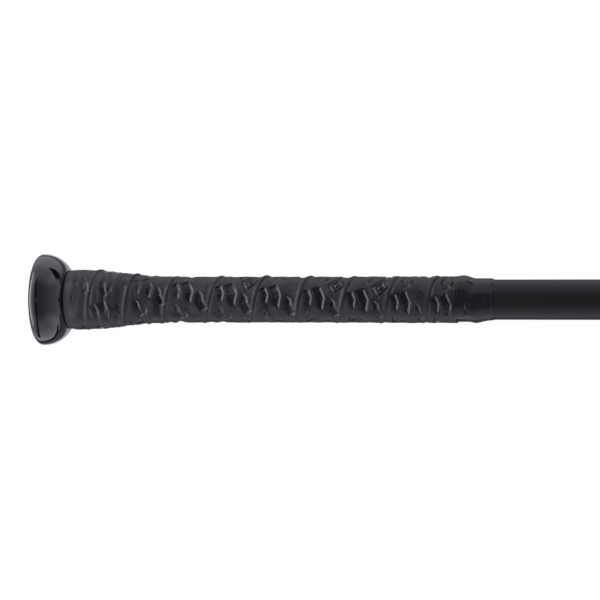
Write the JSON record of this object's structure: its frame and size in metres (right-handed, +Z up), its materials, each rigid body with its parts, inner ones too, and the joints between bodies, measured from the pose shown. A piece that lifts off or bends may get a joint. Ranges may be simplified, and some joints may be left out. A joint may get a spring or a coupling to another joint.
{
  "type": "baseball bat",
  "caption": "Black two-piece baseball bat with a gloss knob, a wound embossed grip, vinyl finishing tape and a satin handle and barrel.",
  "frame": {"origin": "centre of the knob's butt face", "axes": "+X along the bat from the knob to the end cap, +Z up with the bat lying down"},
  "size_m": [0.8128, 0.0666, 0.0666],
  "materials": {
    "knob_gloss": "gloss black moulding",
    "badge": "plain satin disc",
    "weight_steel": "turned steel",
    "foam": "closed-cell foam",
    "handle_paint": "satin black coat on carbon fibre",
    "grip": "tacky embossed polyurethane strip",
    "vinyl_tape": "stretched vinyl tape",
    "elastomer": "matt rubber",
    "barrel_paint": "satin black coat on carbon fibre",
    "inner_carbon": "bare carbon fibre",
    "ring_aluminium": "turned aluminium",
    "end_cap": "moulded black plastic",
    "cast_resin": "cast urethane"
  },
  "bodies": {
    "root": {"knob": "knob_gloss", "knob_badge": "badge", "knob_weight": "weight_steel", "knob_plug": "foam", "handle_tube": "handle_paint", "tube_plug": "foam", "grip_wrap": "grip", "finishing_tape": "vinyl_tape", "joint_collar": "elastomer", "joint_sleeve": "elastomer", "barrel_shell": "barrel_paint", "inner_barrel": "inner_carbon", "stiffening_ring": "ring_aluminium", "end_cap": "end_cap", "end_cap_weight": "cast_resin"}
  },
  "joints": []
}
